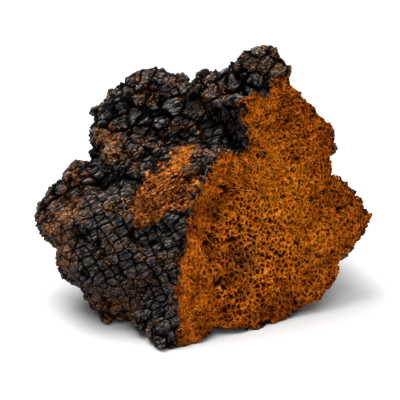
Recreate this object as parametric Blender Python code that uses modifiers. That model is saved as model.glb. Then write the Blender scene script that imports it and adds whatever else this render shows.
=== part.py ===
"""A harvested chunk of chaga, one solid: a lumpy charred crust with one broken, corky face.

Lengths are in millimetres and become metres where a mesh is made.
X runs to the right, Y away from the viewer and Z up, with the broken face to the front.
"""

import math

import bmesh
import bpy
from mathutils import Matrix, Vector, noise

MM = 0.001

# The broken face: where its plane meets the ground, how far it turns right and leans back
FACE_FOOT = Vector((0.0, -34.5, 0.0))
FACE_TURN = math.radians(26)
FACE_LEAN = math.radians(15)

# The face's outline in its own plane, (across, up), anticlockwise from the toe
FACE_OUTLINE = [
    (-15, -4), (2, -4), (6, 1), (11, 3), (17, 1), (22, -4), (40, -4), (56, 4), (66, 7),
    (75, 14), (81, 23), (90, 30), (98, 36), (101, 43), (95, 49), (89, 55), (88, 62), (82, 68),
    (82, 76), (86, 82), (80, 91), (75, 99), (69, 106), (65, 113), (63, 121), (60, 129),
    (53, 134), (46, 125), (44, 114), (35, 112), (27, 110), (31, 102), (35, 94), (36, 87),
    (25, 87), (16, 83), (6, 67), (0, 51), (-7, 36), (-10, 24),
]
OUTLINE_CENTRE = (38, 58)

# How the crust closes in behind the face: (distance behind it, share of the outline's size)
BEHIND_FACE = [(8, 1.0), (20, 0.93), (34, 0.80), (48, 0.62)]
WEDGE_FRONT = 12

# Swellings of the crust: centre, radii, and turn about Z in degrees
LOBES = {
    "core": ((8, 34, 46), (52, 40, 44), 20),
    "shoulder": ((-22, 43, 82), (24, 26, 26), 0),
    "shoulder_side": ((-34, 37, 74), (21, 22, 21), 0),
    "shoulder_front": ((-31, 20, 67), (20, 18, 17), 0),
    "saddle": ((-2, 38, 81), (24, 24, 20), 0),
    "arm": ((13, 31, 94), (20, 17, 18), -30),
    "arm_tip": ((22, 26, 107), (14, 12, 14), 0),
    "horn": ((31, 22, 116), (12, 10, 13), 0),
    "knob": ((-63, 15, 44), (17, 15, 17), 0),
    "knob_neck": ((-52, 22, 57), (15, 15, 13), 0),
    "belly": ((-40, 2, 35), (31, 26, 29), -15),
    "belly_foot": ((-35, -5, 10), (19, 15, 13), 0),
    "front_foot": ((-22, -16, 9), (14, 14, 12), 0),
    "ridge": ((-12, 8, 62), (24, 17, 15), 28),
    "flank": ((-12, -8, 30), (14, 19, 32), 15),
    "toe": ((-16, -33, 4), (9, 10, 9), 0),
    "rear": ((0, 60, 46), (38, 18, 30), 0),
    "rear_low": ((-22, 48, 20), (28, 24, 23), 20),
    "rear_right": ((44, 46, 38), (24, 20, 28), -20),
    "rear_boss": ((20, 62, 70), (17, 15, 17), 0),
}

# Deep hollows pressed into the crust: centre, radius along X, Y and Z, and depth
HOLLOWS = {
    "knob_groove": ((-64, 5, 56), (11, 9, 5), 6.0),
    "knob_end": ((-72, 4, 48), (5, 8, 5), 4.0),
    "belly_top": ((-31, -19, 47), (13, 8, 6), 4.5),
    "belly_eye": ((-57, -14, 46), (5, 6, 5), 3.5),
    "under_fringe": ((11, 5, 100), (6, 6, 6), 5.0),
    "saddle_eye": ((4, 18, 93), (8, 7, 6), 4.5),
    "shoulder_eye": ((-42, 22, 88), (6, 7, 6), 4.0),
    "shoulder_cleft": ((-7, 17, 88), (6, 8, 8), 4.0),
    "shoulder_foot": ((-39, 11, 79), (9, 7, 5), 3.5),
    "back_cleft": ((-4, 70, 74), (16, 12, 6), 5.0),
    "back_eye": ((30, 74, 42), (8, 9, 8), 4.5),
}

# Relief of the crust: kind of texture, size of its features, height, and the level that stays put.
# The smaller kinds leave rounded blocks with cracks between them.
CRUST_RELIEF = {
    "swelling": ("CLOUDS", 24, 5.0, 0.5),
    "domes": ("VORONOI_CELLS", 13, -6.5, 0.5),
    "cracks": ("VORONOI_EDGES", 8, 2.5, 0.3),
}
EDGE_CONTRAST = 2.0

# The broken face's own unevenness. A groove sways up its left part and fades out near the top,
# with a hollow at its head, and waves and torn lumps run over all of it.
GROOVE_ACROSS = 12
GROOVE_SWAY = 3
GROOVE_SWAY_LENGTH = 17
GROOVE_WIDTH = 8
GROOVE_TOP = 62
GROOVE_FADE = 9
GROOVE_DEPTH = 2.5
HOLLOW_PLACE = (15, 58)
HOLLOW_WIDTH = 6
HOLLOW_HEIGHT = 7
HOLLOW_DEPTH = 2.5
WAVE_LENGTHS = ((11, 23), (31, 13))
TORN_RELIEF = 1.3
TORN_SIZE = 9.0

# How fine the work is: ball roundness, the skin's squares, and how often it is smoothed
LOBE_STEPS = 4
FUSE_VOXEL = 1.5
LOBE_SMOOTHING = 5
RELIEF_SMOOTHING = 1
CRUST_TRIANGLES = 9400

# The cutters: the face cutter's width, depth and squares, and the ground cutter's edge
CUTTER_WIDTH = 170
CUTTER_DEPTH = 60
FACE_CELL = 3.2
GROUND_BLOCK = 400

CRUST_COLOUR = (0.022, 0.021, 0.021, 1.0)
FLESH_COLOUR = (0.42, 0.13, 0.012, 1.0)


def clear_scene():
    for obj in list(bpy.data.objects):
        bpy.data.objects.remove(obj)


def new_collection(name):
    collection = bpy.data.collections.new(name)
    bpy.context.scene.collection.children.link(collection)
    return collection


def material(name, colour, roughness):
    made = bpy.data.materials.new(name)
    made.use_nodes = True
    shader = made.node_tree.nodes["Principled BSDF"]
    shader.inputs["Base Color"].default_value = colour
    shader.inputs["Roughness"].default_value = roughness
    shader.inputs["Metallic"].default_value = 0.0
    return made


def face_frame():
    """The broken face's own frame: X across it, Y up it and Z out of it."""
    across = Vector((math.cos(FACE_TURN), math.sin(FACE_TURN), 0))
    level = Vector((math.sin(FACE_TURN), -math.cos(FACE_TURN), 0))
    out = level * math.cos(FACE_LEAN) + Vector((0, 0, math.sin(FACE_LEAN)))
    up = out.cross(across)
    return Matrix.Translation(FACE_FOOT * MM) @ Matrix((across, up, out)).transposed().to_4x4()


def object_from(mesh_data, name, collection):
    mesh = bpy.data.meshes.new(name)
    mesh_data.to_mesh(mesh)
    mesh_data.free()
    obj = bpy.data.objects.new(name, mesh)
    collection.objects.link(obj)
    return obj


def lobe(name, centre, radii, turn, collection):
    shape = bmesh.new()
    bmesh.ops.create_icosphere(shape, subdivisions=LOBE_STEPS, radius=1)
    size = Matrix.Diagonal(Vector(radii) * MM).to_4x4()
    place = Matrix.Translation(Vector(centre) * MM) @ Matrix.Rotation(math.radians(turn), 4, "Z")
    shape.transform(place @ size)
    return object_from(shape, name, collection)


def wedge(collection):
    """The mass straight behind the face: its outline, drawn back in steps that close in."""
    shape = bmesh.new()
    centre_x, centre_y = OUTLINE_CENTRE
    rings = []
    for depth, share in [(-WEDGE_FRONT, 1.0)] + BEHIND_FACE:
        ring = []
        for across, up in FACE_OUTLINE:
            x = centre_x + (across - centre_x) * share
            y = centre_y + (up - centre_y) * share
            ring.append(shape.verts.new(Vector((x, y, -depth)) * MM))
        rings.append(ring)
    shape.faces.new(rings[0])
    for front, back in zip(rings, rings[1:]):
        for i, corner in enumerate(front):
            j = (i + 1) % len(front)
            shape.faces.new((corner, back[i], back[j], front[j]))
    shape.faces.new(reversed(rings[-1]))
    shape.transform(face_frame())
    bmesh.ops.recalc_face_normals(shape, faces=shape.faces)
    return object_from(shape, "wedge", collection)


def face_relief(across, up):
    """How far the broken face stands out of its plane at a place in it."""
    groove_middle = GROOVE_ACROSS + GROOVE_SWAY * math.sin(up / GROOVE_SWAY_LENGTH)
    groove = math.exp(-((across - groove_middle) / GROOVE_WIDTH) ** 2)
    groove /= 1 + math.exp((up - GROOVE_TOP) / GROOVE_FADE)
    hollow_x = (across - HOLLOW_PLACE[0]) / HOLLOW_WIDTH
    hollow_y = (up - HOLLOW_PLACE[1]) / HOLLOW_HEIGHT
    hollow = math.exp(-hollow_x ** 2 - hollow_y ** 2)
    (level_x, level_y), (steep_x, steep_y) = WAVE_LENGTHS
    waves = math.sin(across / level_x + up / level_y) + math.sin(up / steep_y - across / steep_x + 1.0)
    torn = noise.noise(Vector((across, up, 0)) / TORN_SIZE)
    return waves + TORN_RELIEF * torn - GROOVE_DEPTH * groove - HOLLOW_DEPTH * hollow


def face_cutter(collection):
    """A block whose back is the broken face: it takes away all that stands in front of it."""
    shape = bmesh.new()
    cells = round(CUTTER_WIDTH / FACE_CELL)
    bmesh.ops.create_grid(shape, x_segments=cells, y_segments=cells, size=CUTTER_WIDTH / 2)
    for vert in shape.verts:
        vert.co.x += OUTLINE_CENTRE[0]
        vert.co.y += OUTLINE_CENTRE[1]
        vert.co.z = face_relief(vert.co.x, vert.co.y)
    rim = [edge for edge in shape.edges if edge.is_boundary]
    walls = bmesh.ops.extrude_edge_only(shape, edges=rim)["geom"]
    for vert in (item for item in walls if isinstance(item, bmesh.types.BMVert)):
        vert.co.z = CUTTER_DEPTH
    top = [item for item in walls if isinstance(item, bmesh.types.BMEdge) and item.is_boundary]
    bmesh.ops.contextual_create(shape, geom=top)
    shape.transform(face_frame() @ Matrix.Scale(MM, 4))
    bmesh.ops.recalc_face_normals(shape, faces=shape.faces)
    return object_from(shape, "face_cutter", collection)


def ground_cutter(collection):
    shape = bmesh.new()
    bmesh.ops.create_cube(shape, size=GROUND_BLOCK * MM)
    shape.transform(Matrix.Translation((0, 0, -GROUND_BLOCK / 2 * MM)))
    return object_from(shape, "ground_cutter", collection)


def cut(obj, cutter):
    cutter.hide_render = True
    cutter.display_type = "WIRE"
    boolean = obj.modifiers.new(cutter.name, "BOOLEAN")
    boolean.operation = "DIFFERENCE"
    boolean.object = cutter


def raise_relief(obj, name, kind, size, height, mid_level):
    texture = bpy.data.textures.new(name, kind.split("_")[0])
    texture.noise_scale = size * MM
    if kind == "VORONOI_EDGES":
        texture.weight_1 = -1.0
        texture.weight_2 = 1.0
        texture.noise_intensity = EDGE_CONTRAST
    displace = obj.modifiers.new(name, "DISPLACE")
    displace.texture = texture
    displace.texture_coords = "LOCAL"
    displace.strength = height * MM
    displace.mid_level = mid_level


def fuse(obj, rounds):
    """One closed skin round all that overlaps in the object, then smoothed so many times."""
    remesh = obj.modifiers.new("fuse", "REMESH")
    remesh.mode = "VOXEL"
    remesh.voxel_size = FUSE_VOXEL * MM
    smooth = obj.modifiers.new("soften", "SMOOTH")
    smooth.factor = 0.5
    smooth.iterations = rounds


def press_hollows(obj):
    """Pushes the skin in round each hollow's centre, deepest in the middle."""
    skin = bmesh.new()
    skin.from_mesh(obj.data)
    skin.normal_update()
    for vert in skin.verts:
        for centre, radii, depth in HOLLOWS.values():
            away = [(a - b) / radius for a, b, radius in zip(vert.co / MM, centre, radii)]
            vert.co -= vert.normal * depth * MM * math.exp(-sum(x * x for x in away))
    skin.to_mesh(obj.data)
    skin.free()


def apply_modifiers(obj):
    graph = bpy.context.evaluated_depsgraph_get()
    mesh = bpy.data.meshes.new_from_object(obj.evaluated_get(graph))
    obj.modifiers.clear()
    obj.data = mesh


def stand_on_origin(obj, helpers):
    """Moves the chunk and its cutters so that the origin is under the middle of its box."""
    bpy.context.view_layer.update()
    graph = bpy.context.evaluated_depsgraph_get()
    corners = [Vector(corner) for corner in obj.evaluated_get(graph).bound_box]
    middle = (corners[0] + corners[6]) / 2
    stand = bpy.data.objects.new("stand", None)
    obj.users_collection[0].objects.link(stand)
    stand.location = (-middle.x, -middle.y, 0)
    for child in [obj, *helpers.objects]:
        child.parent = stand


def main():
    clear_scene()
    part = new_collection("chaga_mushroom")
    shapes = [wedge(part)]
    shapes += [lobe(name, *values, part) for name, values in LOBES.items()]
    fused = bmesh.new()
    for obj in shapes:
        fused.from_mesh(obj.data)
        bpy.data.objects.remove(obj)
    chunk = object_from(fused, "chaga_chunk", part)
    fuse(chunk, LOBE_SMOOTHING)
    apply_modifiers(chunk)
    press_hollows(chunk)
    for name, values in CRUST_RELIEF.items():
        raise_relief(chunk, name, *values)
    fuse(chunk, RELIEF_SMOOTHING)
    apply_modifiers(chunk)
    chunk.data.materials.append(material("charred_crust", CRUST_COLOUR, 0.65))
    thin = chunk.modifiers.new("thin_out", "DECIMATE")
    thin.ratio = CRUST_TRIANGLES / (2 * len(chunk.data.polygons))
    helpers = new_collection("cutters")
    cut(chunk, ground_cutter(helpers))
    torn = face_cutter(helpers)
    torn.data.materials.append(material("broken_flesh", FLESH_COLOUR, 0.85))
    cut(chunk, torn)
    chunk.modifiers[torn.name].material_mode = "TRANSFER"
    stand_on_origin(chunk, helpers)


main()
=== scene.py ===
# %% [markdown]
# # A harvested chunk of chaga
#
# Chaga grows on birch trunks as a hard black lump. What foragers sell is a chunk that was struck off it: a
# crust that looks like burnt charcoal, cracked into blocks, and one broken face of corky orange flesh.
# The frame below is the plain solid of that chunk. This lesson gives it its crust, its spongy flesh and the
# loose fibres, and then lights and films it like a product photograph.

# %% Load the frame
import math
import random

import bpy
import numpy as np
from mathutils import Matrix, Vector
from mathutils.bvhtree import BVHTree


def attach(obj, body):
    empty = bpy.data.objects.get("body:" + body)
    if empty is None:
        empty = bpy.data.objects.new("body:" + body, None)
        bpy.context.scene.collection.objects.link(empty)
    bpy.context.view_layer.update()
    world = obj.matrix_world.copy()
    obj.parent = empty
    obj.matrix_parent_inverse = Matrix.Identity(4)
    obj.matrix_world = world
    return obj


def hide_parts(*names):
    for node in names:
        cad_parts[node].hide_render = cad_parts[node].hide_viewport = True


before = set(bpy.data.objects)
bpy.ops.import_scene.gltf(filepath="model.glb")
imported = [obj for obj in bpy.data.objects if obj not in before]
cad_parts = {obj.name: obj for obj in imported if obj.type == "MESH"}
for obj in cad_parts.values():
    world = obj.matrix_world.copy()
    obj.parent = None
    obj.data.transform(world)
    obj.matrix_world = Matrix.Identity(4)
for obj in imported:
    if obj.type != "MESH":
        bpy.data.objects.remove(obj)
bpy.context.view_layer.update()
MM = 0.001

# %% [markdown]
# ## Camera
#
# The photo looks a little down on the chunk from the front. A long lens from three quarters of a metre
# keeps the perspective flat, as a product photographer would. The aim point is a named place inside the
# chunk, so the framing stays true if the lens is changed.

# %% Place the camera
AIM = Vector((-1.7, -12.9, 56.0)) * MM
ELEVATION = math.radians(25)
DISTANCE = 750 * MM
LENS = 140.625

back = Vector((0, -math.cos(ELEVATION), math.sin(ELEVATION)))
camera = bpy.data.objects.new("camera", bpy.data.cameras.new("camera"))
bpy.context.scene.collection.objects.link(camera)
camera.data.lens = LENS
camera.data.sensor_width = 36
camera.location = AIM + back * DISTANCE
camera.rotation_euler = (-back).to_track_quat("-Z", "Y").to_euler()
bpy.context.scene.camera = camera
print("camera at", [round(x, 3) for x in camera.location])

# %% [markdown]
# ## Light and floor
#
# The photo has a white sweep with soft light from above, stronger at the back left, and a faint shadow to
# the right. A key lamp at the back left draws that shadow, and a small lamp in front opens up the dark
# crust. A sun as wide as a cloudy sky lights the floor evenly however far it runs, where a lamp overhead
# would leave its far end grey. The floor is one big plane, marked as stage because it is no part of the
# chunk, and it isn't quite white, because a floor that is burnt out shows no soft shadow.

# %% Light the set
scene = bpy.context.scene
scene.view_settings.view_transform = "Standard"


def area_lamp(name, place, size, power):
    """A square lamp that looks at the chunk, its side in metres and its power in watts."""
    lamp = bpy.data.objects.new(name, bpy.data.lights.new(name, "AREA"))
    lamp.data.size = size
    lamp.data.energy = power
    lamp.location = place
    lamp.rotation_euler = (AIM - Vector(place)).to_track_quat("-Z", "Y").to_euler()
    scene.collection.objects.link(lamp)


area_lamp("key", (-0.31, 0.18, 0.93), size=0.6, power=12.5)
area_lamp("front", (0.45, -0.9, 0.5), size=0.6, power=1.2)

SKY_POWER = 3.45
SKY_WIDTH = math.radians(75)
SKY_TILT = math.radians(3)
ROOM_LIGHT = 0.33

sky = bpy.data.objects.new("overhead", bpy.data.lights.new("overhead", "SUN"))
sky.data.energy = SKY_POWER
sky.data.angle = SKY_WIDTH
sky.rotation_euler = (-SKY_TILT, SKY_TILT, 0)
scene.collection.objects.link(sky)

world = bpy.data.worlds.new("studio")
scene.world = world
world.use_nodes = True
world.node_tree.nodes["Background"].inputs["Color"].default_value = (1, 1, 1, 1)
world.node_tree.nodes["Background"].inputs["Strength"].default_value = ROOM_LIGHT

# %% Lay the floor
FLOOR_SIZE = 12
FLOOR_GREY = 0.55
UNDER_CHUNK = 0.2 * MM

bpy.ops.mesh.primitive_plane_add(size=FLOOR_SIZE, location=(0, 0, -UNDER_CHUNK))
floor = bpy.context.object
floor.name = "floor"
sweep = bpy.data.materials.new("white_sweep")
sweep.use_nodes = True
paint = sweep.node_tree.nodes["Principled BSDF"]
paint.inputs["Base Color"].default_value = (FLOOR_GREY, FLOOR_GREY, FLOOR_GREY, 1)
paint.inputs["Roughness"].default_value = 0.9
floor.data.materials.append(sweep)
print("floor:", FLOOR_SIZE, "m wide")

# %% [markdown]
# ## A helper for nodes
#
# Both the relief of the skin and the colours come from the same noises, so both are written as node trees:
# the relief in Geometry Nodes, the colours in a shader. This helper adds a node, links or sets its inputs,
# and hands back its outputs, so that a tree reads like a formula.


# %% Write the node helper
class Tree:
    """Adds nodes to a tree, geometry or shader, one call for each."""

    # Sockets that share a name with another one are reached by number
    SCALE = 3
    MIX_SHARE, MIX_A, MIX_B, MIXED = 0, 6, 7, 2

    def __init__(self, tree):
        self.tree = tree

    def feed(self, socket, value):
        if isinstance(value, bpy.types.NodeSocket):
            self.tree.links.new(value, socket)
        elif value is not None:
            socket.default_value = value

    def add(self, kind, inputs=(), **settings):
        node = self.tree.nodes.new(kind)
        for name, value in settings.items():
            setattr(node, name, value)
        for key, value in dict(inputs).items():
            self.feed(node.inputs[key], value)
        return node

    def math(self, operation, a, b=None, c=None):
        node = self.add("ShaderNodeMath", operation=operation)
        for socket, value in zip(node.inputs, (a, b, c)):
            self.feed(socket, value)
        return node.outputs[0]

    def vector(self, operation, a, b=None, scale=None):
        node = self.add("ShaderNodeVectorMath", operation=operation)
        self.feed(node.inputs[0], a)
        self.feed(node.inputs[1], b)
        self.feed(node.inputs[self.SCALE], scale)
        return node.outputs["Value" if operation == "DOT_PRODUCT" else "Vector"]

    def blend(self, share, low, high):
        """low where share is 0, high where it is 1."""
        gap = self.math("SUBTRACT", high, low)
        return self.math("MULTIPLY_ADD", gap, share, low)

    def remap(self, value, low, high, to_low=0.0, to_high=1.0, smooth=True):
        node = self.add(
            "ShaderNodeMapRange",
            {"Value": value, "From Min": low, "From Max": high, "To Min": to_low, "To Max": to_high},
            interpolation_type="SMOOTHSTEP" if smooth else "LINEAR",
        )
        return node.outputs["Result"]

    def noise(self, place, size, detail=2.0, rough=0.5):
        """Noise with features of this size in millimetres, from 0 to 1."""
        inputs = {"Vector": place, "Scale": 1.0 / size, "Detail": detail, "Roughness": rough}
        return self.add("ShaderNodeTexNoise", inputs).outputs

    def cells(self, place, size, feature="F1", random_share=1.0):
        """Voronoi cells of this size in millimetres."""
        inputs = {"Vector": place, "Scale": 1.0 / size, "Randomness": random_share}
        return self.add("ShaderNodeTexVoronoi", inputs, feature=feature).outputs

    def warp(self, place, size, reach, detail=2.0):
        """The place moved about by a noise, so that straight cell walls wander."""
        shake = self.vector("SUBTRACT", self.noise(place, size, detail)["Color"], (0.5, 0.5, 0.5))
        return self.vector("ADD", place, self.vector("SCALE", shake, scale=2 * reach))

    def mix(self, share, a, b, blend_type="MIX"):
        node = self.add("ShaderNodeMix", data_type="RGBA", blend_type=blend_type)
        self.feed(node.inputs[self.MIX_SHARE], share)
        self.feed(node.inputs[self.MIX_A], a)
        self.feed(node.inputs[self.MIX_B], b)
        return node.outputs[self.MIXED]


# %% [markdown]
# ## One fine skin
#
# The solid's faces are millimetres wide, far too coarse for cracks. A copy of it is merged, covered with an
# even skin of half-millimetre squares by a voxel remesh, and smoothed until its facets are gone. A voxel
# skin has no seams and no stretched faces, so any relief can be pushed into it.

# %% Make the skin
VOXEL = 0.52 * MM
SAME_PLACE = 0.001 * MM


def only(obj):
    """Selects one object and makes it active, since the operators work on what is selected."""
    bpy.ops.object.select_all(action="DESELECT")
    bpy.context.view_layer.objects.active = obj
    obj.select_set(True)


def apply(obj, kind, name, **settings):
    """Adds a modifier, sets it and applies it."""
    modifier = obj.modifiers.new(name, kind)
    for key, value in settings.items():
        setattr(modifier, key, value)
    bpy.context.view_layer.objects.active = obj
    bpy.ops.object.modifier_apply(modifier=name)


def triangles(obj):
    """How many triangles an object's faces make."""
    return sum(len(face.vertices) - 2 for face in obj.data.polygons)


skin = bpy.data.objects.new("skin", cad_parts["chaga_chunk"].data.copy())
scene.collection.objects.link(skin)
only(skin)
bpy.ops.object.mode_set(mode="EDIT")
bpy.ops.mesh.select_all(action="SELECT")
bpy.ops.mesh.remove_doubles(threshold=SAME_PLACE)
bpy.ops.object.mode_set(mode="OBJECT")
apply(skin, "REMESH", "fine_skin", mode="VOXEL", voxel_size=VOXEL)
apply(skin, "SMOOTH", "no_facets", factor=0.5, iterations=8)
print("skin:", len(skin.data.polygons), "squares")

# %% [markdown]
# ## Where each look belongs
#
# The chunk isn't the same all over. Flesh lies in one slanted plane. The crust has coarse lumps on the
# shoulder and the horn, small square blocks on the belly, and long slivers on the band between them, and
# in places the black has worn off. Each of these is a zone. Where the border matters, as round the flesh
# and the bare patch, the zone is an outline and keeps how far inside it a place lies. Elsewhere it is a
# soft ellipsoid round a centre. The zones are measured once for each vertex and kept as attributes that
# both node trees read.

# %% Find the broken face's own axes
FACE_TURN = math.radians(26)
FACE_LEAN = math.radians(15)
FACE_FOOT = Vector((-1.7, -52.4, 0.0))

across = Vector((math.cos(FACE_TURN), math.sin(FACE_TURN), 0))
level = Vector((math.sin(FACE_TURN), -math.cos(FACE_TURN), 0))
outward = level * math.cos(FACE_LEAN) + Vector((0, 0, math.sin(FACE_LEAN)))
upward = outward.cross(across)
print("the broken face looks along", [round(x, 2) for x in outward])

# %% Measure where each vertex lies
EDGE_REACH = 12

count = len(skin.data.vertices)
flat = np.empty(count * 3, np.float32)
skin.data.vertices.foreach_get("co", flat)
place = flat.reshape(-1, 3) / MM
skin.data.vertices.foreach_get("normal", flat)
facing = flat.reshape(-1, 3).copy()

from_foot = place - np.array(FACE_FOOT)
over_face = from_foot @ np.array(outward)
face_x = from_foot @ np.array(across)
face_y = from_foot @ np.array(upward)
turned_out = facing @ np.array(outward)
seen_x = place[:, 0]
seen_y = place[:, 1] * math.sin(ELEVATION) + place[:, 2] * math.cos(ELEVATION)
seen_from_front = EDGE_REACH * (facing @ np.array(back) - 0.1)
print(count, "vertices,", int((turned_out > 0).sum()), "of them turned the way the broken face looks")


# %% Write the shapes that zones are made of
def soft(value, low, high):
    """0 below low, 1 above high, and smooth between them."""
    share = np.clip((value - low) / (high - low), 0, 1)
    return share * share * (3 - 2 * share)


def ball(centre, radii, edge=0.5):
    """1 inside an ellipsoid, falling to 0 over a share of its radius outside it."""
    away = np.linalg.norm((place - np.array(centre)) / np.array(radii), axis=1)
    return 1 - soft(away, 1 - edge / 2, 1 + edge / 2)


def capsule(start, end, radius, edge=0.5):
    """The same round a line from start to end."""
    a, b = np.array(start), np.array(end)
    share = np.clip((place - a) @ (b - a) / ((b - a) @ (b - a)), 0, 1)
    away = np.linalg.norm(place - a - share[:, None] * (b - a), axis=1) / radius
    return 1 - soft(away, 1 - edge / 2, 1 + edge / 2)


def smear(x, y, wide, tall, lean=0.0):
    """A soft spot on the face, in the face's own millimetres, that may lean to one side."""
    off_x, off_y = face_x - x - lean * (face_y - y), face_y - y
    return np.exp(-((off_x / wide) ** 2) - (off_y / tall) ** 2)


def inside(outline, x, y):
    """How many millimetres inside an outline each place lies, negative outside it."""
    nearest = np.full(count, np.inf)
    within = np.zeros(count, bool)
    for (ax, ay), (bx, by) in zip(outline, outline[1:] + outline[:1]):
        run, rise = bx - ax, by - ay
        share = np.clip(((x - ax) * run + (y - ay) * rise) / (run * run + rise * rise), 0, 1)
        nearest = np.minimum(nearest, np.hypot(x - ax - share * run, y - ay - share * rise))
        if rise:
            within ^= ((ay > y) != (by > y)) & (x < run * (y - ay) / rise + ax)
    return np.where(within, nearest, -nearest)


# %% Write what keeps a zone on the skin
def keep(name, values):
    """Stores one number for each vertex."""
    layer = skin.data.attributes.new(name, "FLOAT", "POINT")
    layer.data.foreach_set("value", np.asarray(values, np.float32))
    print(f"zone {name}: {100 * float(np.mean(values > 0)):.1f}% of the skin")


def keep_edge(name, distance):
    """Stores how far inside an outline each vertex lies, up to EDGE_REACH millimetres either way."""
    keep(name, np.clip(distance, -EDGE_REACH, EDGE_REACH))


# %% Outline the flesh in the face's own plane
FLESH_OUTLINE = [
    (-13, -8), (-12, 2), (-9, 14), (-9, 26), (-6, 37), (0, 52), (6, 68), (12, 79), (17, 83),
    (24, 92), (31, 92.5), (36, 89), (35, 93), (33, 97), (28, 102), (21, 110), (27, 115), (35, 114),
    (44, 111), (48, 109), (51, 115), (56, 119), (64, 117), (72, 122), (120, 70), (110, 15), (60, -14),
]
# The break of the solid isn't flat: it waves, and it sinks along a valley at the left and in one dent.
# Flesh has to lie near that surface and look outward. At the right rim it may reach a little round it.
WAVE_DIP = 2.5
MOST_BELOW = 3.2
LEAST_TURN = 0.42

valley = np.exp(-(((face_x - 12 - 3 * np.sin(face_y / 17)) / 8) ** 2)) / (1 + np.exp((face_y - 62) / 9))
dent = np.exp(-(((face_x - 15) / 6) ** 2) - ((face_y - 58) / 7) ** 2)
waves = np.sin(face_x / 11 + face_y / 23) + np.sin(face_y / 13 - face_x / 31 + 1.0)
above = over_face - (waves - WAVE_DIP * valley - WAVE_DIP * dent)
rim_right = soft(face_x, 40, 60) * soft(face_y, 58, 66) + soft(face_x, 28, 45) * (1 - soft(face_y, 18, 30))
near_break = 1.5 * (above + MOST_BELOW + 3.5 * rim_right)
looks_out = 9 * (turned_out - LEAST_TURN + 0.34 * rim_right)
flesh = np.minimum(inside(FLESH_OUTLINE, face_x, face_y), np.minimum(near_break, looks_out))
keep_edge("flesh", flesh)

# %% Outline the bare patch as it is seen from the front
PATCH_OUTLINE = [
    (-4, 72), (-1, 69), (-6, 65.5), (-10.5, 61.5), (-9.5, 58.5), (-3.5, 56.5), (-1.5, 53),
    (-2.5, 50), (-5.5, 47), (-7.5, 43), (-13, 39.5), (-18, 39.5), (-21.5, 37), (-25.5, 33),
    (-29, 30.5), (-32.5, 34), (-35.5, 38.5), (-33, 43.5), (-30, 49), (-26, 55.5), (-21.5, 61.5),
    (-16, 66), (-10.5, 69.5),
]
STREAK_OUTLINE = [(-3, 72.5), (-3, 67), (-9.5, 62), (-16.5, 58.5), (-16, 63), (-10.5, 69.5)]
keep_edge("patch", np.minimum(inside(PATCH_OUTLINE, seen_x, seen_y), seen_from_front))
keep_edge("streak", np.minimum(inside(STREAK_OUTLINE, seen_x, seen_y), seen_from_front))

# %% Mark out the kinds of crust
small_blocks = np.maximum(
    ball((-44, -22, 34), (34, 30, 30)),
    ball((-14, -40, 22), (14, 20, 30)),
)
keep("small_blocks", small_blocks)
slivers = np.maximum(
    capsule((-55, 0, 70), (5, -10, 84), 10, 0.8),
    capsule((-20, -14, 82), (22, -10, 92), 9, 0.8),
)
keep("slivers", slivers * (1 - small_blocks))

# %% Mark the rusty places
RUST_SPOTS = [
    ((-67, -14, 53), (9, 11, 6)),
    ((-62, -6, 60), (7, 9, 10)),
    ((-71, -12, 44), (7, 12, 6)),
    ((-67, -24, 34), (8, 12, 12)),
    ((-42, -34, 7), (16, 9, 7)),
    ((-48, 3, 78), (10, 10, 7)),
    ((40, 3, 118), (6, 8, 9)),
    ((30, 40, 70), (16, 14, 12)),
    ((-30, 52, 30), (14, 12, 14)),
]
RUST_EDGE = 1.2
rust = np.zeros(count)
for centre, radii in RUST_SPOTS:
    rust = np.maximum(rust, ball(centre, radii, RUST_EDGE))
# The rim behind the right side of the flesh is rusty too, except at one black spot
behind_rim = soft(over_face, -15, -7) * soft(face_x, 48, 62) * (1 - ball((82, -12, 50), (14, 14, 14), 0.6))
rust = np.maximum(rust, 0.85 * behind_rim)
keep("rust", rust)

# %% Mark the dark gaps between lumps
# The listed ones are those that the photo shows. The others are spread over the back by chance.
EYES = [
    (-43.6, 3.9, 88.5), (-36.8, 6.9, 96.5), (-25.7, 8.1, 100.7), (-8.9, -1, 87.9), (-1.7, 2.8, 99.7),
    (4.5, 1.4, 91.5), (-40.9, -6.6, 79.3), (-58.8, -31.9, 46), (-48.7, -10.1, 63.6), (12, -13, 101.5),
]
EYE_RADII = (4.5, 4.5, 4.5)
EYE_EDGE = 1.6
EYES_BEHIND = 22
CANDIDATES = 4001
BACK_FROM = 8

dice = random.Random(4)
tried = place[np.linspace(0, count - 1, CANDIDATES).astype(int)]
behind = [tuple(p) for p in tried if p[1] > BACK_FROM]
eyes = np.zeros(count)
for centre in EYES + dice.sample(behind, EYES_BEHIND):
    eyes = np.maximum(eyes, ball(centre, EYE_RADII, EYE_EDGE))
keep("eyes", eyes)

# %% Mark out the kinds of flesh
keep("ashen", ball((22, -30, 36), (9, 10, 10), 1.0))
keep("glowing", np.maximum(
    ball((38, -16, 58), (15, 16, 26), 1.4),
    0.8 * ball((58, -14, 36), (12, 14, 18), 1.4),
))
keep("spongy", np.exp(-(((face_x - 30) / 27) ** 4) - ((face_y - 34) / 30) ** 4))
# Painted shade: the low and right parts of the face are darkened in the colour
keep("shaded", 0.4 * soft(face_x, 58, 80) + 0.45 * (1 - soft(face_y, 2, 24)))
keep("upright", 0.75 * (1 - soft(face_x - 0.12 * face_y, 2, 14)))

# %% Mark the hollows of the flesh
# Each groove: how deep it is as a share, which also sets how dark it is painted as painted shade, then its
# place on the face, its width and height, and its lean
GROOVES = [
    (0.9, 17.5, 59, 5.5, 8, 0), (0.6, 13, 44, 3, 14, 0.1), (0.6, 15, 27, 5, 5, 0), (0.55, 29, 20, 5, 4, 0),
    (0.5, 28, 35, 5, 5, 0), (0.6, 29, 90, 2.5, 9, -0.3), (0.4, 40, 8, 9, 5, 0), (0.35, 62, 92, 5, 6, 0),
]
keep("groove", np.maximum.reduce([deep * smear(*spot) for deep, *spot in GROOVES]))

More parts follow.
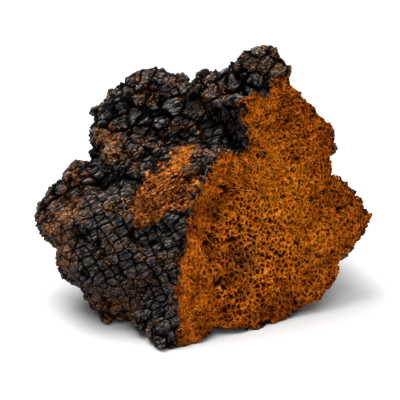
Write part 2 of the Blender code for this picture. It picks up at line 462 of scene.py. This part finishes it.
# Each place where pits crowd: its middle on the face and its radius
PITS = [
    (15, 28, 7), (28, 21, 6), (36, 14, 7), (27, 34, 8), (44, 81, 6), (24, 44, 6), (30, 98, 7), (46, 30, 7),
    (20, 70, 5),
]
pitted = np.zeros(count)
for pit_x, pit_y, radius in PITS:
    pitted = np.maximum(pitted, 1 - soft(np.hypot(face_x - pit_x, face_y - pit_y) / radius, 0.2, 1.1))
keep("pitted", pitted)

# %% Mark the low arch under the foot of the broken face
ARCH_HEIGHT = 3.4
arch_middle = np.array(FACE_FOOT + across * 12 - level * 3)
arch_run = (place - arch_middle) @ np.array(across) / 14
arch_depth = (place - arch_middle) @ np.array(level) / 15
keep("arch", ARCH_HEIGHT * np.clip(1 - arch_run ** 2 - arch_depth ** 2, 0, 1) ** 0.6)

# %% [markdown]
# ## Relief in Geometry Nodes
#
# Charred crust cracks the way mud does, into cells. Voronoi noise draws such cells: its distance to the
# nearest wall gives the cracks, and each cell's own random colour can lift and tilt that block, which
# leaves ledges and catches the light. The broken flesh is a sponge of strands round pores, and there the
# cell walls are the strands and the middles sink. One tree does both, blended by the flesh zone, and it
# stores what it used, so that the shader can colour cracks and strands exactly where they are.

# %% Start the relief tree
relief = bpy.data.node_groups.new("relief", "GeometryNodeTree")
relief.interface.new_socket("Geometry", in_out="INPUT", socket_type="NodeSocketGeometry")
relief.interface.new_socket("Geometry", in_out="OUTPUT", socket_type="NodeSocketGeometry")
t = Tree(relief)
entry = t.add("NodeGroupInput")
leave = t.add("NodeGroupOutput")
rest = t.vector("SCALE", t.add("GeometryNodeInputPosition").outputs[0], scale=1 / MM)
normal = t.add("GeometryNodeInputNormal").outputs[0]


def zone(name):
    """A zone's value in the relief tree."""
    return t.add("GeometryNodeInputNamedAttribute", {"Name": name}).outputs["Attribute"]


def stretched(tree, point, direction, share):
    """The place pressed together along a direction, which draws the cells out along it."""
    along = tree.vector("DOT_PRODUCT", point, direction)
    shift = tree.vector("SCALE", direction, scale=tree.math("MULTIPLY", along, share - 1))
    return tree.vector("ADD", point, shift)


# %% Follow the grain of the crust
# The layers of the crust run up to the right, so its cells are drawn out along that line.
GRAIN = Vector((0.86, 0.26, 0.43)).normalized()
ACROSS_GRAIN = GRAIN.cross(Vector((0, -1, 0.3))).normalized()
THROUGH_GRAIN = GRAIN.cross(ACROSS_GRAIN)


def along_grain(tree, point, share):
    """The place in the crust's own axes, with the first pressed together so that shapes draw out along it."""
    own_axes = (GRAIN * share, ACROSS_GRAIN, THROUGH_GRAIN)
    x, y, z = [tree.vector("DOT_PRODUCT", point, tuple(axis)) for axis in own_axes]
    return tree.add("ShaderNodeCombineXYZ", {"X": x, "Y": y, "Z": z}).outputs[0]


# %% Crack the crust into blocks
def blocks(point, size, shoulder, depth, lift, tilt, order=0.85):
    """Cracked blocks: their height in mm, how far from the crack (0 in it, 1 on top) and a random number."""
    wall = t.cells(point, size, "DISTANCE_TO_EDGE", order)["Distance"]
    top = t.remap(wall, 0.0, shoulder / size, smooth=False)
    dip = t.math("SUBTRACT", 1.0, top)
    cell = t.cells(point, size, random_share=order)
    lean = t.vector("SUBTRACT", cell["Color"], (0.5, 0.5, 0.5))
    slope = t.vector("DOT_PRODUCT", lean, t.vector("SUBTRACT", point, cell["Position"]))
    chance = t.add("ShaderNodeSeparateXYZ", {0: cell["Color"]}).outputs["X"]
    height = t.math("MULTIPLY", t.math("POWER", dip, 2.5), -depth)
    height = t.math("MULTIPLY_ADD", t.math("SUBTRACT", chance, 0.5), t.math("MULTIPLY", top, lift), height)
    height = t.math("MULTIPLY_ADD", t.math("MULTIPLY", slope, top), tilt, height)
    return height, top, chance


wandering = t.warp(rest, 8, 1.4)
grained = along_grain(t, wandering, 0.75)
lumps = t.cells(grained, 12, "SMOOTH_F1")["Distance"]
dome = t.math("MULTIPLY", t.math("MULTIPLY", lumps, lumps), -3.0)
coarse, coarse_top, coarse_chance = blocks(
    grained,
    size=7.0, shoulder=1.3, depth=2.9, lift=1.6, tilt=0.6, order=0.75,
)
small, small_top, small_chance = blocks(
    along_grain(t, t.warp(rest, 7, 0.5), 0.9),
    size=4.8, shoulder=0.75, depth=1.9, lift=0.8, tilt=0.35, order=0.4,
)
sliver, sliver_top, sliver_chance = blocks(
    along_grain(t, wandering, 0.42),
    size=4.0, shoulder=0.8, depth=1.5, lift=1.0, tilt=0.4,
)
split, split_top, _ = blocks(
    along_grain(t, t.warp(rest, 4, 0.7), 0.5),
    size=2.9, shoulder=0.5, depth=1.0, lift=0.6, tilt=0.7,
)


# %% Give each zone its own blocks
def by_zone(base, in_small, in_sliver):
    """Picks the coarse, small or sliver version of a value by where it is."""
    mixed = t.blend(zone("small_blocks"), base, in_small)
    return t.blend(zone("slivers"), mixed, in_sliver)


crust = by_zone(
    t.math("ADD", coarse, dome),
    t.math("MULTIPLY_ADD", dome, 0.5, small),
    t.math("MULTIPLY_ADD", dome, 0.4, sliver),
)
block_top = by_zone(coarse_top, small_top, sliver_top)
chance = by_zone(coarse_chance, small_chance, sliver_chance)

# %% Split the blocks, lay thin layers over them and sink the dark gaps
LAYER_DEPTH = 1.4
SWELL = 1.2

# The small blocks are smoother, so the splits and layers are weaker there
calm = t.math("MULTIPLY_ADD", zone("small_blocks"), -0.7, 1.0)
crust = t.math("MULTIPLY_ADD", split, calm, crust)
layers = t.noise(along_grain(t, wandering, 0.22), 1.5, 3.0, 0.6)["Fac"]
ledges = t.cells(along_grain(t, t.warp(rest, 3, 0.5), 0.3), 1.7, "DISTANCE_TO_EDGE")["Distance"]
ledges = t.remap(ledges, 0.0, 0.22, -0.3, 0.1, smooth=False)
layers = t.math("MULTIPLY", t.math("ADD", ledges, t.math("SUBTRACT", layers, 0.5)), calm)
crust = t.math("MULTIPLY_ADD", layers, LAYER_DEPTH, crust)
gap_depth = t.math("MULTIPLY_ADD", block_top, 1.6, -3.4)
crust = t.math("MULTIPLY_ADD", zone("eyes"), gap_depth, crust)
crust = t.math("ADD", crust, SWELL)
shallow = t.remap(t.math("MAXIMUM", split_top, zone("small_blocks")), 0, 1, 0.4, 1.0)
crack = t.math("MULTIPLY", block_top, shallow)
print("crust relief:", len(relief.nodes), "nodes")

# %% Lay fibres where the black has worn off
# The patch's border is its outline, frayed by a coarse noise and by a fine one along the grain
worn = t.noise(along_grain(t, wandering, 0.25), 1.8, 4.0, 0.65)["Fac"]
worn = t.math("MULTIPLY_ADD", t.math("SUBTRACT", worn, 0.5), 6.5, -0.3)
patch_edge = t.math("MULTIPLY_ADD", t.noise(rest, 7, 3.0, 0.6)["Fac"], 16.0, -8.0)
patch_edge = t.math("MULTIPLY_ADD", t.noise(along_grain(t, rest, 0.5), 2.2, 2.0)["Fac"], 9.0, patch_edge)
patch_edge = t.math("ADD", zone("patch"), t.math("SUBTRACT", patch_edge, 4.2))
patch_mask = t.remap(patch_edge, -0.6, 0.6)
crust = t.blend(patch_mask, crust, worn)
print("with the bare patch:", len(relief.nodes), "nodes")


# %% Weave the strands of the flesh
def threads(place, size, thickness):
    """Thin wandering lines: the places where a noise passes through its middle value."""
    off_middle = t.math("ABSOLUTE", t.math("SUBTRACT", t.noise(place, size, 1.0)["Fac"], 0.5))
    return t.remap(off_middle, thickness, 0.0)


sponge_place = t.warp(stretched(t, rest, tuple(upward), 0.8), 2.6, 1.0, 3.0)
wall = t.cells(sponge_place, 2.2, "DISTANCE_TO_EDGE")["Distance"]
web = t.remap(wall, 0.24, 0.02, smooth=False)
slant = stretched(t, t.warp(rest, 4, 1.0), (0.80, -0.10, -0.59), 0.6)
first_threads = threads(t.vector("ADD", rest, (40, 0, 0)), 2.6, 0.05)
second_threads = threads(slant, 3.1, 0.045)
third_threads = threads(t.vector("ADD", sponge_place, (0, 60, 0)), 1.8, 0.06)
fourth_threads = threads(t.vector("ADD", slant, (0, 0, 90)), 2.2, 0.05)

# Crossing threads lie like felt over most of the face, and a net of pores takes over in its lower middle
felt = t.math("MAXIMUM", first_threads, t.math("MAXIMUM", second_threads, fourth_threads))
felt = t.math("MULTIPLY_ADD", web, 0.35, t.math("MULTIPLY_ADD", felt, 0.5, 0.12))
net = t.math("MAXIMUM", third_threads, first_threads)
net = t.math("MULTIPLY_ADD", net, 0.3, t.math("MULTIPLY", web, 0.8))
net_share = t.math("SUBTRACT", zone("spongy"), 0.95)
net_share = t.math("MULTIPLY_ADD", t.noise(rest, 8, 2.0)["Fac"], 1.6, net_share)
strand = t.blend(t.remap(net_share, 0.0, 0.6), felt, net)

# Along the left edge the flesh has torn into upright fibres
upright = t.noise(stretched(t, t.warp(rest, 5, 1.0), tuple(upward), 0.2), 1.5, 3.0, 0.6)["Fac"]
upright = t.math("MULTIPLY_ADD", t.math("SUBTRACT", upright, 0.5), 2.6, 0.5)
strand = t.blend(zone("upright"), strand, t.blend(0.4, upright, strand))

# %% Sink the pits and hollows of the flesh
TORN_RELIEF = 6.0
PIT_DEPTH = 2.3
GROOVE_DEPTH = 1.8
SPONGE_FLOOR = -4.8

torn = t.noise(rest, 9, 3.0, 0.55)["Fac"]
pit_place = t.math("MULTIPLY_ADD", zone("pitted"), 0.13, t.noise(rest, 4.2, 2.0, 0.5)["Fac"])
pit = t.remap(pit_place, 0.62, 0.73)
sponge = t.math("MULTIPLY_ADD", strand, t.math("MULTIPLY_ADD", zone("glowing"), -0.5, 1.6), -1.7)
sponge = t.math("MULTIPLY_ADD", t.math("SUBTRACT", torn, 0.5), TORN_RELIEF, sponge)
sponge = t.math("MULTIPLY_ADD", pit, -PIT_DEPTH, sponge)
sponge = t.math("MULTIPLY_ADD", zone("groove"), -GROOVE_DEPTH, sponge)
sponge = t.math("MAXIMUM", sponge, SPONGE_FLOOR)

# %% Join crust and flesh along a frayed border
border = t.math("MULTIPLY_ADD", t.noise(rest, 5, 3.0)["Fac"], 9.0, -4.5)
border = t.math("MULTIPLY_ADD", t.noise(rest, 1.6, 2.0)["Fac"], 3.0, t.math("SUBTRACT", border, 1.5))
flesh_mask = t.remap(t.math("ADD", zone("flesh"), border), -0.3, 0.3)
height = t.blend(flesh_mask, crust, sponge)
print("whole relief:", len(relief.nodes), "nodes")

# %% Store what the colours need
geometry = entry.outputs[0]
STORED = {
    "height": height,
    "crack": crack,
    "chance": chance,
    "flesh_mask": flesh_mask,
    "patch_mask": patch_mask,
    "strand": strand,
    "pit": pit,
}
for name, value in STORED.items():
    store = t.add("GeometryNodeStoreNamedAttribute", {"Geometry": geometry, "Name": name, "Value": value})
    geometry = store.outputs[0]
store = t.add("GeometryNodeStoreNamedAttribute", data_type="FLOAT_VECTOR")
t.feed(store.inputs["Geometry"], geometry)
t.feed(store.inputs["Name"], "rest")
t.feed(store.inputs["Value"], rest)
print("stored:", ", ".join(STORED), "and rest")

# %% Move the skin
# Relief may not push the skin through the floor, and under the arch it stays as high as the arch
lift = t.vector("SCALE", normal, scale=t.math("MULTIPLY", height, MM))
moved = t.vector("ADD", t.add("GeometryNodeInputPosition").outputs[0], lift)
moved = t.add("ShaderNodeSeparateXYZ", {0: moved})
least_height = t.math("MULTIPLY", zone("arch"), MM)
on_floor = t.add("ShaderNodeCombineXYZ", {
    "X": moved.outputs["X"],
    "Y": moved.outputs["Y"],
    "Z": t.math("MAXIMUM", moved.outputs["Z"], least_height),
})
push = t.add("GeometryNodeSetPosition", {"Geometry": store.outputs[0], "Position": on_floor.outputs[0]})
t.feed(leave.inputs[0], push.outputs[0])
apply(skin, "NODES", "relief", node_group=relief)
heights = [v.value for v in skin.data.attributes["height"].data]
print(f"relief from {min(heights):.2f} to {max(heights):.2f} mm")

# %% Measure how far the flesh's hollows reach towards the cut behind the face
# The skin will be cut this many millimetres behind the face's plane, and a hollow that reached through the
# cut would show as a hole with a flat black lid.
BEHIND_FACE = 10.5

skin.data.vertices.foreach_get("co", flat)
moved_over = (flat.reshape(-1, 3) / MM - np.array(FACE_FOOT)) @ np.array(outward)
deepest = -float(moved_over[flesh > 2].min())
print(f"the deepest flesh lies {deepest:.2f} mm behind the plane, the cut {BEHIND_FACE} mm")

# %% [markdown]
# ## The crust's colour
#
# Charcoal isn't plain black. The blocks are a dark warm grey, a painted highlight of light grey along their
# layers stands in for the soft sheen of their tops, thin dark lines run along the layers, the cracks and the
# gaps between lumps are painted near black as painted shade, and crumbs of golden flesh and rusty dust cling
# to the edges. All of it reads the values that the relief stored, so the colours stay in step with the
# blocks. A low specular level keeps the white room from veiling the blacks.


# %% Write the helpers for looks
def new_look(name, specular):
    """A new material with its own low gloss, and the helper for its nodes."""
    made = bpy.data.materials.new(name)
    made.use_nodes = True
    shader = made.node_tree.nodes["Principled BSDF"]
    shader.inputs["Specular IOR Level"].default_value = specular
    return made, Tree(made.node_tree), shader


def stored(tree, name, output="Fac"):
    """An attribute that the relief left on the skin."""
    return tree.add("ShaderNodeAttribute", attribute_name=name).outputs[output]


def colour(red, green, blue):
    """A colour as the eye names it, 0 to 255, made linear for the shader."""
    linear = [((c / 255 + 0.055) / 1.055) ** 2.4 if c > 10 else c / 255 / 12.92 for c in (red, green, blue)]
    return (*linear, 1)


# %% Mix the charcoal
crust_look, s, shader = new_look("charred_crust", 0.04)
at = stored(s, "rest", "Vector")
crack_open = stored(s, "crack")
layer_lines_and_sheen = s.noise(along_grain(s, s.warp(at, 6, 1.2), 0.22), 1.0, 4.0, 0.65)["Fac"]
mottle = s.noise(at, 6, 4.0, 0.6)["Fac"]
speckle = s.noise(at, 1.1, 3.0, 0.65)["Fac"]

coal = s.mix(s.remap(mottle, 0.35, 0.65), colour(42, 38, 35), colour(78, 72, 70))
coal = s.mix(s.remap(stored(s, "chance"), 0.3, 0.9), coal, colour(58, 49, 43))
# Painted highlight: the light grey along the layers stands in for the sheen of the block tops, and the near
# black lines are the layers' own dark lines
coal = s.mix(s.remap(layer_lines_and_sheen, 0.52, 0.61), coal, colour(124, 116, 114))
coal = s.mix(s.remap(layer_lines_and_sheen, 0.47, 0.40), coal, colour(7, 6, 6))
fine_crust = s.math("MAXIMUM", stored(s, "small_blocks"), s.math("MULTIPLY", stored(s, "slivers"), 0.5))
coal = s.mix(fine_crust, coal, (0.68, 0.68, 0.68, 1), "MULTIPLY")
# Painted shade: the cracks are darkened to near black in the colour, on top of the real shade of their depth
coal = s.mix(s.remap(crack_open, 0.9, 0.25), coal, colour(1, 1, 1))
# Painted shade: the sunk gaps between lumps are painted near black too
coal = s.mix(s.math("MULTIPLY", stored(s, "eyes"), 0.8), coal, colour(2, 2, 2))

# %% Scatter dust and crumbs along the cracks
fleck_place = s.noise(along_grain(s, at, 0.6), 0.8, 2.0, 0.6)["Fac"]
fleck_place = s.math("MULTIPLY_ADD", stored(s, "rust"), 0.07, fleck_place)
fleck_field = s.noise(at, 12, 2.0)["Fac"]
fleck_edge = s.math("MULTIPLY", s.remap(crack_open, 0.05, 0.4), s.remap(crack_open, 1.0, 0.6))
dusty = s.math("MULTIPLY", s.remap(fleck_field, 0.50, 0.66, 0.0, 0.6), s.remap(speckle, 0.46, 0.62))
dusty = s.math("MULTIPLY", dusty, s.math("MULTIPLY_ADD", fleck_edge, 0.75, 0.25))
coal = s.mix(dusty, coal, colour(92, 56, 32))
fleck = s.math("MULTIPLY", s.remap(fleck_place, 0.61, 0.66), s.remap(fleck_field, 0.44, 0.60))
fleck = s.math("MULTIPLY", fleck, s.math("MULTIPLY_ADD", fleck_edge, 0.65, 0.35))
coal = s.mix(fleck, coal, s.mix(speckle, colour(150, 84, 30), colour(245, 180, 110)))

# %% Add rust and the bare patch
rusty = s.math("MULTIPLY", stored(s, "rust"), s.remap(s.noise(at, 3.0, 3.0, 0.6)["Fac"], 0.40, 0.62))
rust_and_crack_shade = s.mix(s.remap(speckle, 0.35, 0.65), colour(46, 24, 12), colour(170, 106, 54))
# Real rust colour, with painted shade: inside the cracks the rust is darkened to near black
rust_and_crack_shade = s.mix(s.remap(crack_open, 0.6, 0.0), rust_and_crack_shade, colour(12, 6, 3))
coal = s.mix(s.math("MULTIPLY", rusty, 0.85), coal, rust_and_crack_shade)

fibres = s.noise(along_grain(s, s.warp(at, 2, 0.4), 0.42), 0.9, 4.0, 0.65)["Fac"]
bare = s.mix(s.remap(fibres, 0.40, 0.53), colour(14, 8, 4), colour(152, 80, 26))
bare = s.mix(s.remap(fibres, 0.54, 0.67), bare, colour(232, 150, 72))
streak_edge = s.math("MULTIPLY_ADD", s.noise(at, 3, 2.0)["Fac"], 6.0, -3.0)
streak_edge = s.math("ADD", stored(s, "streak"), streak_edge)
streak_share = s.remap(streak_edge, -0.8, 0.8)
bright = s.mix(s.remap(fibres, 0.38, 0.60), colour(100, 50, 8), colour(196, 114, 30))
bare = s.mix(streak_share, bare, bright)
crumbs = s.remap(s.noise(s.vector("ADD", at, (30, 0, 0)), 1.7, 3.0, 0.6)["Fac"], 0.53, 0.60)
crumbs = s.math("MULTIPLY", crumbs, s.math("MULTIPLY_ADD", streak_share, -0.7, 0.9))
bare = s.mix(crumbs, bare, colour(16, 11, 9))
coal = s.mix(stored(s, "patch_mask"), coal, bare)

# %% Finish the crust's look
s.feed(shader.inputs["Base Color"], coal)
s.feed(shader.inputs["Roughness"], s.remap(speckle, 0.3, 0.7, 0.58, 0.38))
grit = s.math("MULTIPLY_ADD", s.noise(at, 0.7, 3.0, 0.7)["Fac"], 0.4, layer_lines_and_sheen)
bump = s.add("ShaderNodeBump", {"Strength": 1.0, "Distance": 1.3 * MM, "Height": grit})
s.feed(shader.inputs["Normal"], bump.outputs[0])
print("crust look:", len(crust_look.node_tree.nodes), "nodes")

# %% [markdown]
# ## The flesh's colour
#
# The flesh's colour runs from nearly black in the pits and pores, which is painted shade, through burnt
# orange, to bright amber on the strand tops, which is partly the strands' own colour and partly painted
# highlight. Cork has no gloss at all, so its specular level is nearly nothing, and the orange stays deep.

# %% Mix the broken flesh
flesh_look, s, shader = new_look("broken_flesh", 0.03)
at = stored(s, "rest", "Vector")
strand_height = stored(s, "strand")
tangle = s.noise(at, 1.1, 4.0, 0.7)["Fac"]
field = s.noise(at, 14, 2.0)["Fac"]
patches = s.noise(at, 5, 3.0, 0.6)["Fac"]

# Painted shade and highlight: from nearly black in the deep pores, as painted shade, up to bright amber on
# the strand tops, as painted highlight where they catch the light
shade = s.math("MULTIPLY_ADD", s.math("SUBTRACT", tangle, 0.5), 1.5, strand_height)
amber = s.mix(s.remap(shade, 0.14, 0.44), colour(15, 6, 1), colour(104, 44, 3))
amber = s.mix(s.remap(shade, 0.38, 0.76), amber, colour(188, 92, 5))
amber = s.mix(s.remap(shade, 0.76, 1.10), amber, colour(250, 158, 34))

# %% Tint the flesh by zone
dull_tone_and_shade = s.mix(s.remap(shade, 0.1, 1.0), colour(20, 8, 2), colour(146, 66, 4))
golden = s.mix(s.remap(shade, 0.1, 0.95), colour(112, 54, 4), colour(246, 156, 24))
facet = s.mix(s.remap(shade, 0.1, 0.95), colour(92, 40, 5), colour(240, 130, 28))
soot = s.mix(s.remap(shade, 0.2, 1.0), colour(20, 12, 7), colour(104, 66, 36))
rim = s.mix(s.remap(shade, 0.1, 1.0), colour(20, 10, 4), colour(138, 66, 14))
ash = s.mix(s.remap(shade, 0.2, 1.0), colour(26, 16, 9), colour(112, 82, 52))

amber = s.mix(s.math("MULTIPLY", stored(s, "glowing"), s.remap(patches, 0.42, 0.62, 0.1, 0.6)), amber, golden)
amber = s.mix(s.math("MULTIPLY", stored(s, "upright"), 0.6), amber, facet)
not_golden = s.math("MULTIPLY_ADD", stored(s, "glowing"), -0.7, 1.0)
amber = s.mix(s.math("MULTIPLY", s.remap(field, 0.46, 0.60, 0.0, 0.9), not_golden), amber, dull_tone_and_shade)
amber = s.mix(s.math("MULTIPLY", s.remap(patches, 0.52, 0.66, 0.0, 0.7), not_golden), amber, dull_tone_and_shade)
# Painted shade over the low and right parts of the face; the mixes above are the flesh's own duller tone
amber = s.mix(stored(s, "shaded"), amber, dull_tone_and_shade)
amber = s.mix(s.remap(s.noise(at, 3.2, 3.0, 0.6)["Fac"], 0.62, 0.72, 0.0, 0.7), amber, soot)
amber = s.mix(s.remap(stored(s, "flesh"), 4.5, 0.0, 0.0, 0.65), amber, rim)
ash_share = s.math("MULTIPLY", stored(s, "ashen"), s.remap(s.noise(at, 2.4, 2.0)["Fac"], 0.42, 0.56))
amber = s.mix(s.math("MULTIPLY", ash_share, 0.55), amber, ash)
# Painted shade: the grooves are darkened in the colour, on top of the real shade of their depth
amber = s.mix(s.math("MULTIPLY", stored(s, "groove"), 0.72), amber, colour(50, 20, 3))
# Painted shade: the pits are painted nearly black
amber = s.mix(s.math("MULTIPLY", stored(s, "pit"), 0.85), amber, colour(16, 6, 1))

# %% Finish the flesh's look
s.feed(shader.inputs["Base Color"], amber)
s.feed(shader.inputs["Roughness"], s.remap(tangle, 0.3, 0.7, 0.95, 0.8))
grit = s.noise(at, 0.7, 3.0, 0.7)["Fac"]
bump = s.add("ShaderNodeBump", {"Strength": 0.8, "Distance": 0.5 * MM, "Height": grit})
s.feed(shader.inputs["Normal"], bump.outputs[0])
print("flesh look:", len(flesh_look.node_tree.nodes), "nodes")

# %% Give each face of the skin its material
CRUST_SLOT, FLESH_SLOT = 0, 1

skin.data.materials.clear()
skin.data.materials.append(crust_look)
skin.data.materials.append(flesh_look)
mask = np.empty(len(skin.data.vertices), np.float32)
skin.data.attributes["flesh_mask"].data.foreach_get("value", mask)
corners = np.empty(len(skin.data.loops), np.int32)
skin.data.loops.foreach_get("vertex_index", corners)
starts = np.empty(len(skin.data.polygons), np.int32)
skin.data.polygons.foreach_get("loop_start", starts)
is_flesh = mask[corners[starts]] > 0.5
slots = np.where(is_flesh, FLESH_SLOT, CRUST_SLOT).astype(np.int32)
skin.data.polygons.foreach_set("material_index", slots)
print("flesh squares:", int(is_flesh.sum()))

# %% [markdown]
# ## Cutting the skin into pieces
#
# One mesh this fine is heavy to store, so it is cut by planes into closed pieces that meet exactly: the
# broken face, and four slices of the crust behind it, from left to right. The slices are cut where they
# share the vertices evenly, so that none grows too heavy.


# %% Write the cut
def cut_piece(source, name, cuts):
    """A copy of the skin, kept on the inner side of each plane (a point and a direction that is cut away)."""
    piece = bpy.data.objects.new(name, source.data.copy())
    scene.collection.objects.link(piece)
    only(piece)
    bpy.ops.object.mode_set(mode="EDIT")
    for point, away in cuts:
        bpy.ops.mesh.select_all(action="SELECT")
        bpy.ops.mesh.bisect(plane_co=point, plane_no=away, use_fill=True, clear_outer=True)
    bpy.ops.object.mode_set(mode="OBJECT")
    piece.data.shade_smooth()
    print(name, triangles(piece), "triangles")
    return piece


# %% Cut the skin behind the face, and the crust into slices
SLICES = 4
BEHIND = (FACE_FOOT - outward * BEHIND_FACE) * MM
TO_RIGHT = Vector((1, 0, 0))

face = cut_piece(skin, "broken_face", [(BEHIND, -outward)])
crust_whole = cut_piece(skin, "crust_whole", [(BEHIND, outward)])
crust_x = np.sort(place[over_face < -BEHIND_FACE][:, 0])
walls = [Vector((float(crust_x[len(crust_x) * part // SLICES]) * MM, 0, 0)) for part in range(1, SLICES)]
crust_pieces = []
for number in range(SLICES):
    cuts = [(walls[number - 1], -TO_RIGHT)] if number > 0 else []
    cuts += [(walls[number], TO_RIGHT)] if number < SLICES - 1 else []
    crust_pieces.append(cut_piece(crust_whole, f"crust_{number + 1}", cuts))
bpy.data.objects.remove(skin)
bpy.data.objects.remove(crust_whole)

# %% Hang each piece from the root and hide the plain solid
for piece, slot_name in [(face, "broken_flesh")] + [(piece, "charred_crust") for piece in crust_pieces]:
    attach(piece, "root")
    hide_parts("chaga_chunk")
    print(piece.name, "shows the slot", slot_name)

# %% [markdown]
# ## Loose strands
#
# On a torn face some threads of the fungus stand free of the sponge, bridge its pores and catch the light.
# Each is a short curve that wanders over the face, laid a little above it and lifted in the middle. All of
# them together are one curve object with a round bevel, turned into a mesh, which is far quicker than
# thousands of objects.


# %% Walk each strand over the face
STEP = 0.6
TURN = 0.32
SHORTEST = 4
CLEAR_OF_FACE = 0.05
PROBE_HEIGHT = 25
PROBE_LENGTH = 40
SMOOTHING = [0.1, 0.25, 0.3, 0.25, 0.1]

corner_places = [v.co.copy() for v in face.data.vertices]
over = BVHTree.FromPolygons(corner_places, [tuple(f.vertices) for f in face.data.polygons])
dice = random.Random(11)


def on_face(x, y, height):
    """The point at a place in the face's plane and a height above it, all in mm."""
    return FACE_FOOT + across * x + upward * y + outward * height


def flesh_height(x, y):
    """The face's height above its plane in mm at a place in that plane, or None beside the flesh."""
    hit, _, number, _ = over.ray_cast(on_face(x, y, PROBE_HEIGHT) * MM, -outward, PROBE_LENGTH * MM)
    if hit is None or face.data.polygons[number].material_index != FLESH_SLOT:
        return None
    return (hit / MM - FACE_FOOT).dot(outward)


def strand_path(x, y, heading, steps, lift):
    """Points of one strand: it turns a little at each step and bridges the pores below it."""
    places, heights = [], []
    for _ in range(steps):
        height = flesh_height(x, y)
        if height is None:
            break
        places.append((x, y))
        heights.append(height)
        heading += dice.gauss(0, TURN)
        x += math.cos(heading) * STEP
        y += math.sin(heading) * STEP
    if len(places) < SHORTEST:
        return []
    smooth = np.convolve(np.pad(heights, len(SMOOTHING) // 2, mode="edge"), SMOOTHING, mode="valid")
    bow = lift * np.sin(np.linspace(0, math.pi, len(places)))
    rise = np.maximum(smooth, heights) + CLEAR_OF_FACE + bow
    return [on_face(px, py, float(h)) for (px, py), h in zip(places, rise)]


# %% Start the bundle of strands
STRAND_RADIUS = 0.16 * MM

bundle = bpy.data.curves.new("loose_strands", "CURVE")
bundle.dimensions = "3D"
bundle.bevel_depth = STRAND_RADIUS
bundle.bevel_resolution = 0
bundle.use_fill_caps = True


def add_strand(points, thickness):
    """One strand of the bundle, thin at both ends."""
    spline = bundle.splines.new("POLY")
    spline.points.add(len(points) - 1)
    for number, (point, place_on) in enumerate(zip(spline.points, points)):
        point.co = (*(place_on * MM), 1)
        point.radius = thickness * (0.45 + 0.55 * math.sin(math.pi * (number + 0.5) / len(points)))


# %% Lay the strands
# Every fourth try aims at the upper left border, where the photo shows a fringe. Strands run in all
# directions, but more of them slant down to the right higher up, and along the left edge many stand upright.
TRIES = 2000
WHOLE_FACE = (-8, 94), (2, 116)
FRINGE = (14, 52), (72, 112)
LEFT_EDGE = 14
DOWN_RIGHT = -0.75
UPRIGHT = math.pi / 2

for number in range(TRIES):
    x, y = [dice.uniform(*span) for span in WHOLE_FACE]
    if number % 4 == 0:
        x, y = [dice.uniform(*span) for span in FRINGE]
    stringy = soft(np.float64(y), 70, 95)
    if dice.random() < 0.25 + 0.5 * stringy:
        heading = dice.gauss(DOWN_RIGHT, 0.5)
    else:
        heading = dice.uniform(-math.pi, math.pi)
    if x < LEFT_EDGE and dice.random() < 0.6:
        heading = dice.gauss(UPRIGHT, 0.3)
    steps = dice.randint(5, 10)
    points = strand_path(x, y, heading, steps, lift=dice.uniform(0.0, 0.2 + 0.4 * stringy))
    if points:
        add_strand(points, dice.uniform(0.6, 1.25))
print(len(bundle.splines), "strands")

# %% Turn the strands into a mesh
strands = bpy.data.objects.new("loose_strands", bundle)
scene.collection.objects.link(strands)
only(strands)
bpy.ops.object.convert(target="MESH")
strands = bpy.context.object
strands.data.shade_smooth()
print("strands:", triangles(strands), "triangles")

# %% Give the strands their look
strand_look, s, shader = new_look("loose_strands", 0.05)
at = s.vector("SCALE", s.add("ShaderNodeTexCoord").outputs["Object"], scale=1 / MM)
broad, narrow = s.noise(at, 6, 3.0)["Fac"], s.noise(at, 1.6, 2.0)["Fac"]
tone = s.math("MULTIPLY", s.math("ADD", broad, narrow), 0.6)
thread = s.mix(s.remap(tone, 0.45, 0.62), colour(112, 50, 4), colour(204, 110, 10))
thread = s.mix(s.remap(tone, 0.64, 0.78), thread, colour(232, 150, 56))
s.feed(shader.inputs["Base Color"], thread)
shader.inputs["Roughness"].default_value = 0.75
strands.data.materials.clear()
strands.data.materials.append(strand_look)
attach(strands, "root")
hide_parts("chaga_chunk")
print("strands' look:", len(strand_look.node_tree.nodes), "nodes")
